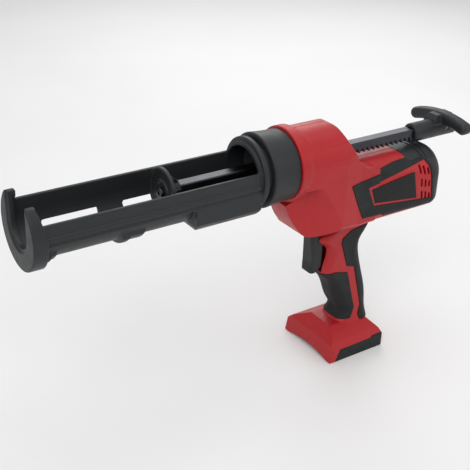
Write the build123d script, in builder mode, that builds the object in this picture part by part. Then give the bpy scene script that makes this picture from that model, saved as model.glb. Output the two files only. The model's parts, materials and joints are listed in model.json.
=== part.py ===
from build123d import *

# Cordless cartridge (caulking) gun, body only, for 310 ml cartridges.
# Millimetres, +Z up, +X towards the pull handle. The origin is at the middle of the overall length,
# on the plane that the foot stands on. Most shapes are drawn in views placed on the rod axis:
# their first coordinate is measured from the foot's centre line and their second from the rod axis.

import math
import os

os.makedirs("parts", exist_ok=True)

# ---------------------------------------------------------------- driving dimensions
ROD_Z = 222.6  # height of the rod axis above the foot's base
GRIP_X = 107.0  # the foot's centre line, behind the middle of the overall length
WALL = 3.0  # moulded housing wall
SKIN = 1.6  # depth of the rubber overmould's pocket
PROUD = 0.7  # height of the rubber above the housing
FIT = 0.05  # radial clearance of a running fit
GAP = 0.4  # clearance between pieces that pass each other

BODY_BOTTOM = -75.0
HUMP_R = 34.0
FLANGE_R = 36.8
FLANGE_FRONT = -89.5
MOTOR_Z = -44.5
MOTOR_TOP = -12.0
MOTOR_HALF = 32.0
MOTOR_REAR = 99.7
CORNER_R = 13.0
FOOT_BASE = -ROD_Z
FOOT_HALF = 39.8
FOOT_FRONT = -41.0
FOOT_REAR = 31.5

YOKE_FRONT = -349.5
YOKE_R = 35.2
YOKE_DROP = -2.6
CARTRIDGE_R = 26.0
TROUGH_R = 29.5
TROUGH_NEAR_TOP = 10.0
TROUGH_FAR_TOP = 12.5
TROUGH_REAR = -131.0
KEEL_FRONT = -199.0
KEEL_R = 39.5
COLLAR_FRONT = -120.0
COLLAR_REAR = -90.0
SPIGOT_FRONT = -112.4
SPIGOT_R = 31.0

ROD_HALF = 5.75
RACK_MODULE = 2.0
RACK_FRONT = -205.0
RACK_REAR = 72.0
PISTON_FRONT = -217.5
PISTON_R = 23.0
SLEEVE_FRONT = 75.5
HANDLE_REAR = 135.5

PRESSURE = math.radians(20)
DRIVE_X = -49.5
DRIVE_TEETH = 12
DRIVE_Z = -ROD_HALF + RACK_MODULE - RACK_MODULE * DRIVE_TEETH / 2
SPUR_MODULE = 1.25
OUTPUT_TEETH = 32
CROSS_TEETH = 14
BEVEL_MODULE = 1.5
BEVEL_PINION_TEETH = 12
BEVEL_GEAR_TEETH = 24
BEVEL_EASE = 0.12
BEVEL_SMALL_END = 0.7
PLANET_MODULE = 0.75
SUN_TEETH = 12
PLANET_TEETH = 18
RING_TEETH = SUN_TEETH + 2 * PLANET_TEETH
CAN_R = 22.5
PLANET_CASE_R = 24.0
SHAFT_R = 2.5


# ---------------------------------------------------------------- working planes
def side_plane(y=0.0):
    """Side view: x runs rearwards from the foot's centre line, y runs up from the rod axis."""
    return Plane(origin=(GRIP_X, y, ROD_Z), x_dir=(1, 0, 0), z_dir=(0, -1, 0))


def cross_plane(x=0.0):
    """Cross-section at a station along the rod: x runs across, y runs up from the rod axis."""
    return Plane(origin=(GRIP_X + x, 0, ROD_Z), x_dir=(0, 1, 0), z_dir=(1, 0, 0))


def level_plane(z=0.0):
    """Plan view at a height measured from the rod axis."""
    return Plane(origin=(GRIP_X, 0, ROD_Z + z), x_dir=(1, 0, 0), z_dir=(0, 0, 1))


def save(part, label):
    part.label = label
    export_step(part, f"parts/{label}.step")


# ---------------------------------------------------------------- general shapes
def plate(points, y_from, y_to):
    """A flat plate with a polygonal side view."""
    with BuildPart() as body:
        with BuildSketch(side_plane(y_from)):
            Polygon(*points, align=None)
        extrude(amount=y_from - y_to)
    return body.part


def block(x, y, z):
    """A box given by its low and high limits along each direction."""
    with BuildPart() as body:
        with BuildSketch(side_plane(y[0])):
            with Locations(((x[0] + x[1]) / 2, (z[0] + z[1]) / 2)):
                Rectangle(x[1] - x[0], z[1] - z[0])
        extrude(amount=y[0] - y[1])
    return body.part


def tube_along_rod(x_from, x_to, outer_r, inner_r=0.0, height=0.0):
    """A round bar or tube along the gun, at a height from the rod axis."""
    with BuildPart() as body:
        with BuildSketch(cross_plane(x_from)):
            with Locations((0, height)):
                Circle(outer_r)
                if inner_r:
                    Circle(inner_r, mode=Mode.SUBTRACT)
        extrude(amount=x_to - x_from)
    return body.part


def tube_across(y_from, y_to, x, z, outer_r, inner_r=0.0):
    """A round bar or tube across the gun."""
    with BuildPart() as body:
        with BuildSketch(side_plane(y_from)):
            with Locations((x, z)):
                Circle(outer_r)
                if inner_r:
                    Circle(inner_r, mode=Mode.SUBTRACT)
        extrude(amount=y_from - y_to)
    return body.part


# ---------------------------------------------------------------- gear teeth
def involute(angle):
    return math.tan(angle) - angle


def tooth_ring(flank, teeth, phase):
    """Outline of all teeth, from one flank given as radii and half-angles, root first."""
    points = []
    for tooth in range(teeth):
        middle = math.radians(phase) + 2 * math.pi * tooth / teeth
        angles = [(r, middle - half) for r, half in flank]
        angles += [(r, middle + half) for r, half in reversed(flank)]
        points += [(r * math.cos(a), r * math.sin(a)) for r, a in angles]
    return points


def gear_points(module, teeth, phase, tip_r, root_r, ease=0.12):
    """Outline of a gear whose first tooth is centred at the phase angle in degrees.

    The ease is taken off each tooth at the pitch circle, as backlash.
    """
    pitch_r = module * teeth / 2
    base_r = pitch_r * math.cos(PRESSURE)
    half_at_base = math.pi / 2 / teeth - ease / 2 / pitch_r + involute(PRESSURE)
    flank = []
    for radius in (root_r, pitch_r, (pitch_r + tip_r) / 2, tip_r):
        roll = math.acos(min(1.0, base_r / radius))
        flank.append((radius, half_at_base - involute(roll)))
    return tooth_ring(flank, teeth, phase)


def outline(points):
    """A polygon in the current sketch, at its own coordinates."""
    Polygon(*points, align=None)


def spur_gear(module, teeth, phase, y_from, y_to, x, z, bore_r):
    points = gear_points(module, teeth, phase, module * (teeth / 2 + 1), module * (teeth / 2 - 1.2))
    with BuildPart() as gear:
        with BuildSketch(side_plane(y_from)):
            outline([(x + a, z + b) for a, b in points])
            with Locations((x, z)):
                Circle(bore_r, mode=Mode.SUBTRACT)
        extrude(amount=y_from - y_to)
    return gear.part


def bevel_flank(pitch_r, apex_distance):
    """One flank of a straight bevel tooth, as cut by the plane through the pitch circle."""
    pitch_angle = math.atan2(pitch_r, apex_distance)
    virtual_r = pitch_r / math.cos(pitch_angle)
    base_r = virtual_r * math.cos(PRESSURE)
    half_at_base = (math.pi * BEVEL_MODULE / 4 - BEVEL_EASE) / virtual_r + involute(PRESSURE)
    flank = []
    for rise in (-1.2 * BEVEL_MODULE, 0, BEVEL_MODULE / 2, BEVEL_MODULE):
        own_r = virtual_r + rise
        half = half_at_base - involute(math.acos(min(1.0, base_r / own_r)))
        tilt = math.atan(rise / math.hypot(pitch_r, apex_distance))
        radius = apex_distance * math.tan(pitch_angle + tilt)
        flank.append((radius, half * own_r / (pitch_r + rise * math.cos(pitch_angle))))
    return flank


def bevel_teeth(plane_at, teeth, mate_teeth, phase, centre):
    """Straight bevel teeth running towards the shared apex, with a coned back."""
    pitch_r = BEVEL_MODULE * teeth / 2
    apex_distance = BEVEL_MODULE * mate_teeth / 2
    slope = pitch_r / apex_distance
    points = tooth_ring(bevel_flank(pitch_r, apex_distance), teeth, phase)
    near = BEVEL_SMALL_END * apex_distance
    far = apex_distance + 1.2 * BEVEL_MODULE * math.sin(math.atan(slope))
    back_apex = apex_distance + pitch_r * slope
    with BuildPart(plane_at(0)) as gear:
        for distance in (near, far):
            scale = distance / apex_distance
            with BuildSketch(plane_at(distance)):
                outline([(centre[0] + a * scale, centre[1] + b * scale) for a, b in points])
        loft(ruled=True)
        with Locations((centre[0], centre[1], near)):
            Cone(
                (back_apex - near) / slope,
                (back_apex - far) / slope,
                far - near,
                align=(Align.CENTER, Align.CENTER, Align.MIN),
                mode=Mode.INTERSECT,
            )
    return gear.part


# ---------------------------------------------------------------- housing envelope
def hump_and_chin(inset):
    """Gear housing: a round-topped section, trimmed by its side view and by the flared chin."""
    radius = HUMP_R - inset
    bottom = BODY_BOTTOM + inset
    with BuildPart() as body:
        with BuildSketch(cross_plane(-95)) as section:
            with BuildLine():
                ThreePointArc((-radius, 0), (0, radius), (radius, 0))
                Polyline((radius, 0), (radius, bottom), (-radius, bottom), (-radius, 0))
            make_face()
            fillet(section.vertices().group_by(Axis.Y)[0], CORNER_R - inset)
        extrude(amount=110)
        with BuildSketch(side_plane()):
            with BuildLine():
                Line((-84, HUMP_R), (-40, HUMP_R))
                ThreePointArc((-40, HUMP_R), (-35.8, 32.6), (-33.6, 28.7))
                ThreePointArc((-33.6, 28.7), (-28.6, 17.2), (-20.5, 3.6))
                ThreePointArc((-20.5, 3.6), (-14.5, -4.5), (-5, -11))
                Polyline((-5, -11), (10, -15), (10, BODY_BOTTOM), (-63, BODY_BOTTOM))
                ThreePointArc((-63, BODY_BOTTOM), (-70.5, -73), (-76, -67))
                ThreePointArc((-76, -67), (-84.5, -54.5), (-91, -38))
                Polyline((-91, -38), (-84, -34), (-84, HUMP_R))
            make_face()
            if inset:
                offset(amount=-inset, kind=Kind.INTERSECTION)
        extrude(amount=60, both=True, mode=Mode.INTERSECT)
        for side in (-1, 1):
            for height, flare in ((-17.8, -62.5), (BODY_BOTTOM - 1, -25.0)):
                with BuildSketch(level_plane(height)):
                    corner = 19.5 - inset
                    outline(
                        [
                            (-100, side * (corner - 8)),
                            (-71 + inset, side * corner),
                            (flare + inset, side * (HUMP_R - inset + 0.5)),
                            (flare + inset, side * 40),
                            (-100, side * 40),
                        ]
                    )
            loft(ruled=True, mode=Mode.SUBTRACT)
        for side in (-1, 1):
            with BuildSketch(level_plane(-90)):
                outline(
                    [
                        (-36, side * (HUMP_R - inset + 0.2)),
                        (-14, side * (MOTOR_HALF - inset - 0.1)),
                        (20, side * (MOTOR_HALF - inset - 0.1)),
                        (20, side * 45),
                        (-36, side * 45),
                    ]
                )
            extrude(amount=150, mode=Mode.SUBTRACT)
    return body.part


def flange(inset):
    """Round front flange that the lock collar butts against."""
    with BuildPart() as body:
        with BuildSketch(side_plane()):
            with BuildLine():
                Polyline((FLANGE_FRONT + inset, 0), (FLANGE_FRONT + inset, FLANGE_R - inset - 1.2))
                ThreePointArc(
                    (FLANGE_FRONT + inset, FLANGE_R - inset - 1.2),
                    (FLANGE_FRONT + inset + 0.4, FLANGE_R - inset - 0.4),
                    (FLANGE_FRONT + inset + 1.2, FLANGE_R - inset),
                )
                Polyline(
                    (FLANGE_FRONT + inset + 1.2, FLANGE_R - inset),
                    (-80, FLANGE_R - inset),
                    (-75, HUMP_R - inset - 0.3),
                    (-75, 0),
                    (FLANGE_FRONT + inset, 0),
                )
            make_face()
        revolve(axis=Axis((GRIP_X, 0, ROD_Z), (1, 0, 0)))
    return body.part


def motor_body(inset):
    """Motor housing: round on top, flat on its sides, with a rounded rear end."""
    half = MOTOR_HALF - inset
    top = MOTOR_TOP - inset
    bottom = BODY_BOTTOM + inset
    with BuildPart() as body:
        with BuildSketch(cross_plane(-25)) as section:
            with Locations((0, (top + bottom) / 2)):
                Rectangle(2 * half, top - bottom)
            fillet(section.vertices().group_by(Axis.Y)[-1], 28 - inset)
            fillet(section.vertices().group_by(Axis.Y)[0], CORNER_R - inset)
        extrude(amount=MOTOR_REAR - inset + 25)
        rear = body.faces().sort_by(Axis.X)[-1]
        fillet(rear.edges(), CORNER_R - inset - 1)
    return body.part


# Grip sections from top to bottom: height, front, rear, half-width
GRIP_SECTIONS = (
    (-71, -46.5, 37, 20),
    (-83, -38, 20, 17),
    (-98, -36.5, 11, 16.5),
    (-120, -37.5, 12, 16.5),
    (-129, -37.5, 14.5, 16.5),
    (-139, -29, 17.5, 16.5),
    (-150, -22, 21, 16.5),
    (-172, -13, 25.5, 16.5),
    (-187, -9, 27, 17.5),
    (-198, -12, 29, 20),
)


def grip(inset):
    """Pistol grip: rounded sections blended from the body down to the foot."""
    with BuildPart() as body:
        for height, front, rear, half in GRIP_SECTIONS:
            with BuildSketch(level_plane(height)):
                with Locations(((front + rear) / 2, 0)):
                    RectangleRounded(rear - front - 2 * inset, 2 * (half - inset), 12 - inset)
        loft()
    return body.part


def foot():
    """Foot that carries the battery rails: a low roof shape standing on its rim."""
    with BuildPart() as body:
        with BuildSketch(cross_plane(-45)):
            half = [(FOOT_HALF, FOOT_BASE), (FOOT_HALF, -208), (33.5, -202.3), (16, -193.5)]
            outline(half + [(-y, z) for y, z in reversed(half)])
        extrude(amount=90)
        with BuildSketch(side_plane()):
            outline(
                [
                    (FOOT_FRONT, FOOT_BASE),
                    (-37, -204),
                    (-24, -193),
                    (20, -193),
                    (29, -203),
                    (FOOT_REAR, -211),
                    (FOOT_REAR, FOOT_BASE),
                ]
            )
        extrude(amount=50, both=True, mode=Mode.INTERSECT)
        fillet(body.edges().filter_by(Axis.Z), 3)
    return body.part


def envelope(inset):
    """The housing's outer form, drawn in by an inset (or out by a negative one)."""
    with BuildPart() as body:
        add(hump_and_chin(inset))
        add(flange(inset))
        add(motor_body(inset))
        add(grip(inset))
    return body.part


OUTER = envelope(0)
INNER = envelope(WALL)
POCKET = envelope(SKIN)
RAISED = envelope(-PROUD)
SCORED = envelope(0.6)


def skin(zone):
    """Rubber overmould: the raised layer of the envelope inside a zone."""
    with BuildPart() as layer:
        add(RAISED)
        add(POCKET, mode=Mode.SUBTRACT)
        add(zone, mode=Mode.INTERSECT)
    return layer.part


# ---------------------------------------------------------------- zones on the housing
FRAME_OUTER = [
    (-26.2, -24.8),
    (45.7, -15.8),
    (96, -9),
    (96, -69.5),
    (20, -68),
    (18, -65),
    (-8.1, -63.9),
]
FRAME_INNER = [(-3.8, -31.8), (75.9, -20.2), (80.2, -27), (85.7, -62.4), (5.8, -53.5)]
LABEL = [(1.1, -34.9), (57.3, -28), (64, -57.9), (6.6, -50.7)]
CAP = [
    (51, 5),
    (52.6, -12),
    (57, -19.5),
    (76.5, -18.5),
    (83, -27),
    (88, -64),
    (88, -85),
    (115, -85),
    (115, 5),
]
BACKSTRAP = [
    (44, -76),
    (-8, -84),
    (-17.5, -91),
    (-18.5, -96),
    (-8.6, -125.3),
    (1.4, -128),
    (15, -179),
    (11.5, -188),
    (14, -196),
    (40, -196),
    (40, -150),
    (25, -100),
]
FRONT_PANEL = [
    (-50, -131),
    (-24, -128.5),
    (-7.1, -133),
    (6.4, -179),
    (1.7, -190.7),
    (-40, -192),
    (-40, -160),
]
PAD = [(-33.5, FOOT_BASE), (-28, -209), (14, -208.6), (18, -205), (45, -205), (45, FOOT_BASE)]


def frame_zone(side):
    """The ring around the label panel, on one side of the motor housing."""
    y_from, y_to = sorted((side * 19.0, side * 40.0))
    with BuildPart() as zone:
        add(plate(FRAME_OUTER, y_from, y_to))
        add(plate(FRAME_INNER, y_from, y_to), mode=Mode.SUBTRACT)
        add(plate(CAP, y_from, y_to), mode=Mode.SUBTRACT)
    return zone.part


FRAME_ZONES = {side: frame_zone(side) for side in (-1, 1)}
CAP_ZONE = plate(CAP, -40, 40)
BACKSTRAP_ZONE = plate(BACKSTRAP, -30, 30)
FRONT_PANEL_ZONE = plate(FRONT_PANEL, -30, 30)

# Housing screws: station, height
SCREWS = ((-60, 24.5), (-16, -12.5), (-72, -63.5), (9, -84.5), (-4, -136), (4, -193))
SCREW_HEAD_Y = 10.0
CAP_SCREW_Y = 21.0
CAP_SCREW_Z = -64.5
CAP_SCREW_SEAT = MOTOR_REAR - 4


def vent_slots(side):
    """Three slanted columns of cooling slots beside the fan."""
    with BuildPart() as slots:
        with BuildSketch(side_plane(side * 24)):
            for column, length in ((0, 9.5), (1, 9.5), (2, 7.5)):
                for row in range(3):
                    x = 67.5 + 5.4 * column + 1.9 * row
                    z = -28.5 - 14.0 * row - 1.6 * column
                    with Locations(Location((x, z), (0, 0, 7))):
                        SlotOverall(length, 2.4, rotation=90)
        extrude(amount=-side * 12)
    return slots.part


def score_lines():
    """Shallow moulded lines on the sides of the gear housing."""
    lines = [
        [(-67, 19.4), (-30, 20.2), (-30, 19.3), (-67, 18.5)],
        [(-54, 3.2), (-20, 4.2), (-20, 3.3), (-54, 2.3)],
        [(-47, -15.2), (-9, -14.2), (-9, -15.1), (-47, -16.1)],
    ]
    with BuildPart() as cut:
        for line in lines:
            add(plate(line, -45, 45))
        add(SCORED, mode=Mode.SUBTRACT)
    return cut.part


def screw_boss(x, z):
    """A post for a housing screw, from one side wall to the other."""
    with BuildPart() as boss:
        add(OUTER)
        add(tube_across(-36, 36, x, z, 4.2), mode=Mode.INTERSECT)
    return boss.part


def bulkhead(x_from, x_to, bore_r):
    """A wall across the body that holds the motor or the planetary case, open below for the leads."""
    with BuildPart() as wall:
        add(motor_body(WALL / 2))
        add(block((x_from, x_to), (-40, 40), (-80, -5)), mode=Mode.INTERSECT)
        add(tube_along_rod(x_from - 1, x_to + 1, bore_r, height=MOTOR_Z), mode=Mode.SUBTRACT)
        add(block((x_from - 1, x_to + 1), (-9, 9), (-72, -60)), mode=Mode.SUBTRACT)
    return wall.part


def side_ribs():
    """Ribs on both side walls for the gear case, the switch, the board and the rear cap's screws."""
    with BuildPart() as ribs:
        for side in (-1, 1):
            add(block((-36, -32), sorted((side * 23.05, side * 33)), (-45, 0)))
            for x_from in (-16, -4):
                add(block((x_from, x_from + 4), sorted((side * 9.1, side * 15.5)), (-110, -90)))
            add(block((8, 13), sorted((side * 0.9, side * 14)), (-152, -149)))
            add(block((76, 88), sorted((side * 19.5, side * 22.5)), (-73.5, -64.5)))
            across = Location((0, side * CAP_SCREW_Y, 0))
            add(tube_along_rod(76, 88, 4.2, height=CAP_SCREW_Z).move(across))
            add(tube_along_rod(83, 89, 1.65, height=CAP_SCREW_Z).move(across), mode=Mode.SUBTRACT)
    return ribs.part


def housing():
    """Both housing halves as one hollow moulding, before it is split."""
    with BuildPart() as shell:
        add(OUTER)
        add(foot())
        add(INNER, mode=Mode.SUBTRACT)
        for x, z in SCREWS:
            add(screw_boss(x, z))
        add(side_ribs())
        add(bulkhead(-2, 0.5, PLANET_CASE_R))
        add(bulkhead(18, 20.5, CAN_R))
        add(bulkhead(64, 66.5, CAN_R))
        add(tube_across(-18, 18, DRIVE_X, DRIVE_Z, 22), mode=Mode.SUBTRACT)
        add(tube_along_rod(-95, -74, 33.3), mode=Mode.SUBTRACT)
        add(block((-45, 5), (-6.7, 6.7), (-6.7, 6.7)), mode=Mode.SUBTRACT)
        add(block((-50, -20), (-9.6, 9.6), (-127.8, -60)), mode=Mode.SUBTRACT)
        add(CAP_ZONE, mode=Mode.SUBTRACT)
        add(score_lines(), mode=Mode.SUBTRACT)
    return shell.part


# ---------------------------------------------------------------- housing halves
with BuildPart() as frame_pocket:
    for zone in FRAME_ZONES.values():
        add(zone)
    add(POCKET, mode=Mode.SUBTRACT)

with BuildPart() as grip_pockets:
    add(BACKSTRAP_ZONE)
    add(FRONT_PANEL_ZONE)
    add(POCKET, mode=Mode.SUBTRACT)

with BuildPart() as battery_bay:
    add(block((-35.5, 45), (-32, 32), (FOOT_BASE - 5, -211)))
    for side in (-1, 1):
        rail_y = sorted((side * 28.5, side * 33))
        add(block((-37, 24), rail_y, (FOOT_BASE + 1.5, FOOT_BASE + 4.5)), mode=Mode.SUBTRACT)
    with BuildSketch(cross_plane(-45)):
        with BuildLine():
            ThreePointArc((-33, FOOT_BASE), (0, FOOT_BASE + 4.2), (33, FOOT_BASE))
            Line((33, FOOT_BASE), (-33, FOOT_BASE))
        make_face()
    extrude(amount=20)

with BuildPart() as terminal_slot:
    add(block((9, 25), (-15, 15), (-213, -196)))

with BuildPart() as pad_pockets:
    for side in (-1, 1):
        pocket_y = sorted((side * (FOOT_HALF - SKIN), side * 45))
        add(plate(PAD, *pocket_y))

with BuildPart() as whole_housing:
    add(housing())
    add(frame_pocket.part, mode=Mode.SUBTRACT)
    add(grip_pockets.part, mode=Mode.SUBTRACT)
    add(battery_bay.part, mode=Mode.SUBTRACT)
    add(terminal_slot.part, mode=Mode.SUBTRACT)
    add(pad_pockets.part, mode=Mode.SUBTRACT)
    for side in (-1, 1):
        add(vent_slots(side), mode=Mode.SUBTRACT)
        label_y = sorted((side * (MOTOR_HALF - 0.8), side * 40))
        add(plate(LABEL, *label_y), mode=Mode.SUBTRACT)


def housing_half(side):
    """One half, with its screw holes: pilot holes on the near side, counterbores on the far side."""
    y_limits = sorted((0.0, side * 60.0))
    with BuildPart() as half:
        add(whole_housing.part)
        add(block((-400, 400), y_limits, (-260, 80)), mode=Mode.INTERSECT)
        for x, z in SCREWS:
            if side < 0:
                add(tube_across(-10.5, 1, x, z, 1.7), mode=Mode.SUBTRACT)
            else:
                add(tube_across(-1, 40, x, z, 2.0), mode=Mode.SUBTRACT)
                add(tube_across(SCREW_HEAD_Y, 40, x, z, 3.8), mode=Mode.SUBTRACT)
    return half.part


with BuildPart() as left_shell:
    add(housing_half(-1))
save(left_shell.part, "left_shell")

with BuildPart() as right_shell:
    add(housing_half(1))
save(right_shell.part, "right_shell")

# ---------------------------------------------------------------- housing trim
def cap_groove(station):
    """A cooling groove over the top of the rear cap."""
    with BuildPart() as groove:
        add(block((station - 0.9, station + 0.9), (-40, 40), (-21, 0)))
        add(POCKET, mode=Mode.SUBTRACT)
    return groove.part


with BuildPart() as rear_cap:
    add(OUTER)
    add(INNER, mode=Mode.SUBTRACT)
    add(CAP_ZONE, mode=Mode.INTERSECT)
    for station in (74.5, 80.0, 88.5):
        add(cap_groove(station), mode=Mode.SUBTRACT)
    for side in (-1, 1):
        across = Location((0, side * CAP_SCREW_Y, 0))
        add(tube_along_rod(88.5, MOTOR_REAR - 2, 4.2, height=CAP_SCREW_Z).move(across))
        add(tube_along_rod(88, 110, 2.0, height=CAP_SCREW_Z).move(across), mode=Mode.SUBTRACT)
        add(tube_along_rod(CAP_SCREW_SEAT, 110, 3.6, height=CAP_SCREW_Z).move(across), mode=Mode.SUBTRACT)
save(rear_cap.part, "rear_cap")

for name, side in (("left_overmould", -1), ("right_overmould", 1)):
    with BuildPart() as overmould:
        add(skin(FRAME_ZONES[side]))
    save(overmould.part, name)

with BuildPart() as label_plates:
    for side in (-1, 1):
        label_y = sorted((side * (MOTOR_HALF - 0.8), side * (MOTOR_HALF + 0.1)))
        add(plate(LABEL, *label_y))
save(label_plates.part, "label_plates")

with BuildPart() as grip_backstrap:
    add(skin(BACKSTRAP_ZONE))
save(grip_backstrap.part, "grip_backstrap")

with BuildPart() as grip_front_panel:
    add(skin(FRONT_PANEL_ZONE))
save(grip_front_panel.part, "grip_front_panel")

with BuildPart() as foot_pads:
    for side in (-1, 1):
        pad_y = sorted((side * (FOOT_HALF - SKIN), side * FOOT_HALF))
        add(plate(PAD, *pad_y))
    add(foot(), mode=Mode.INTERSECT)
save(foot_pads.part, "foot_pads")

# ---------------------------------------------------------------- cradle and collar
def u_slot(half, bottom, top_half, top):
    """Outline of the yoke's nozzle slot, open at the top."""
    with BuildSketch(cross_plane(YOKE_FRONT - 2)) as slot:
        with BuildLine():
            Line((top_half, top), (half, bottom + half))
            ThreePointArc((half, bottom + half), (0, bottom), (-half, bottom + half))
            Line((-half, bottom + half), (-top_half, top))
            Line((-top_half, top), (top_half, top))
        make_face()
    return slot.sketch


def yoke():
    """Front rim that stops the cartridge's shoulder, with a slot for its nozzle."""
    with BuildPart() as body:
        with BuildSketch(cross_plane(YOKE_FRONT)):
            with Locations((0, YOKE_DROP)):
                Circle(YOKE_R)
        extrude(amount=13)
        fillet(body.faces().sort_by(Axis.X)[0].edges(), 1.2)
        with BuildSketch(side_plane()):
            Polygon(
                (YOKE_FRONT - 1, -40),
                (YOKE_FRONT - 1, 24),
                (YOKE_FRONT + 8.5, 24),
                (YOKE_FRONT + 13.5, -5),
                (YOKE_FRONT + 13.5, -40),
                align=None,
            )
        extrude(amount=50, both=True, mode=Mode.INTERSECT)
        add(tube_along_rod(YOKE_FRONT + 6, YOKE_FRONT + 20, CARTRIDGE_R), mode=Mode.SUBTRACT)
        extrude(u_slot(17.5, -18.5, 18.5, 45), amount=20, mode=Mode.SUBTRACT)
        extrude(u_slot(20.5, -21.5, 21.5, 45), amount=3.6, mode=Mode.SUBTRACT)
    return body.part


def trough():
    """Open-topped trough that the cartridge lies in."""
    length = TROUGH_REAR - YOKE_FRONT - 8
    with BuildPart() as body:
        with BuildSketch(cross_plane(YOKE_FRONT + 8)):
            with BuildLine():
                ThreePointArc((-TROUGH_R, 0), (0, -TROUGH_R), (TROUGH_R, 0))
                Polyline(
                    (TROUGH_R, 0),
                    (TROUGH_R, TROUGH_FAR_TOP),
                    (0, TROUGH_FAR_TOP),
                    (0, TROUGH_NEAR_TOP),
                    (-TROUGH_R, TROUGH_NEAR_TOP),
                    (-TROUGH_R, 0),
                )
            make_face()
        extrude(amount=length)
        for side in (-1, 1):
            with BuildSketch(cross_plane(YOKE_FRONT + 14)):
                Polygon(
                    (side * 26, -1.0),
                    (side * 30.6, -1.0),
                    (side * 31.1, -1.6),
                    (side * 31.1, -4.6),
                    (side * 29.4, -6.4),
                    (side * 30.2, -8.6),
                    (side * 29.6, -10.4),
                    (side * 26, -10.4),
                    align=None,
                )
            extrude(amount=length - 7)
    return body.part


def under_rib(x_from, x_to, radius):
    """A short rib under the trough, rounded where it meets the sides."""
    with BuildPart() as rib:
        with BuildSketch(cross_plane(x_from)):
            Circle(radius)
        extrude(amount=x_to - x_from)
        fillet(rib.edges().filter_by(GeomType.CIRCLE), min(2.5, (x_to - x_from) / 2.5))
        with BuildSketch(cross_plane(x_from)):
            with Locations((0, -30)):
                Rectangle(2 * 25, 42)
        extrude(amount=x_to - x_from, mode=Mode.INTERSECT)
    return rib.part


def keel():
    """Deep rear part of the trough, with a curved front end."""
    with BuildPart() as body:
        with BuildSketch(side_plane()):
            with BuildLine():
                ThreePointArc((KEEL_FRONT, -27), (KEEL_FRONT + 5, -34.5), (KEEL_FRONT + 16, -KEEL_R))
                Polyline(
                    (KEEL_FRONT + 16, -KEEL_R),
                    (TROUGH_REAR, -KEEL_R),
                    (TROUGH_REAR, -8),
                    (KEEL_FRONT, -8),
                    (KEEL_FRONT, -27),
                )
            make_face()
        extrude(amount=30.4, both=True)
        with BuildSketch(cross_plane(KEEL_FRONT)):
            Circle(KEEL_R - 0.3)
        extrude(amount=TROUGH_REAR - KEEL_FRONT, mode=Mode.INTERSECT)
    return body.part


def cradle_window(x_from, x_to):
    """A sight window low in the far wall of the trough."""
    with BuildPart() as window:
        with BuildSketch(side_plane(12)):
            with Locations(((x_from + x_to) / 2, -17.5)):
                RectangleRounded(x_to - x_from, 13, 2)
        extrude(amount=-25)
    return window.part


with BuildPart() as cradle:
    add(yoke())
    add(trough())
    add(under_rib(YOKE_FRONT + 13, YOKE_FRONT + 19, 33.6))
    add(under_rib(YOKE_FRONT + 18, YOKE_FRONT + 23.5, 31.8))
    add(under_rib(-268, -260, 33.4))
    add(under_rib(-261, -246, 32.2))
    add(keel())
    with BuildSketch(side_plane()):
        Polygon(
            (TROUGH_REAR - 2.0, 0),
            (TROUGH_REAR - 2.0, 29.8),
            (TROUGH_REAR + 1.0, 29.8),
            (TROUGH_REAR + 1.0, 32.9),
            (TROUGH_REAR + 2.0, 33.9),
            (TROUGH_REAR + 6.1, 33.9),
            (TROUGH_REAR + 6.1, 29.8),
            (SPIGOT_FRONT - 3.2, 29.8),
            (SPIGOT_FRONT - 3.2, 28.6),
            (SPIGOT_FRONT - 1.4, 28.6),
            (SPIGOT_FRONT - 1.4, 29.8),
            (SPIGOT_FRONT - GAP, 29.8),
            (SPIGOT_FRONT - GAP, 0),
            align=None,
        )
    revolve(axis=Axis((GRIP_X, 0, ROD_Z), (1, 0, 0)))
    add(tube_along_rod(YOKE_FRONT + 6, SPIGOT_FRONT + 2, CARTRIDGE_R), mode=Mode.SUBTRACT)
    drop_in = (YOKE_FRONT + 8.5, TROUGH_REAR - 2)
    add(block(drop_in, (-CARTRIDGE_R, CARTRIDGE_R), (0, 45)), mode=Mode.SUBTRACT)
    add(cradle_window(-319.5, -267.5), mode=Mode.SUBTRACT)
    add(cradle_window(-243.5, -199.5), mode=Mode.SUBTRACT)
save(cradle.part, "cradle")

with BuildPart() as cradle_ring:
    with BuildSketch(cross_plane(SPIGOT_FRONT - 3.1)):
        Circle(32.8)
        Circle(28.65, mode=Mode.SUBTRACT)
        with Locations((0, 31)):
            Rectangle(7, 9, mode=Mode.SUBTRACT)
    extrude(amount=1.6)
save(cradle_ring.part, "cradle_retaining_ring")

LUG_ANGLES = (0, 120, 240)


def bayonet_sectors(x_from, x_to, radius, spread, turn):
    """Three sectors of a disc, used for the spigot's lugs and the collar's entry slots."""
    with BuildPart() as sectors:
        for angle in LUG_ANGLES:
            middle = math.radians(angle + turn)
            half = math.radians(spread / 2)
            with BuildSketch(cross_plane(x_from)):
                reach = radius * 1.6
                Polygon(
                    (0, 0),
                    (reach * math.cos(middle - half), reach * math.sin(middle - half)),
                    (reach * math.cos(middle + half), reach * math.sin(middle + half)),
                    align=None,
                )
            extrude(amount=x_to - x_from)
        with BuildSketch(cross_plane(x_from)):
            Circle(radius)
        extrude(amount=x_to - x_from, mode=Mode.INTERSECT)
    return sectors.part


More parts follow.
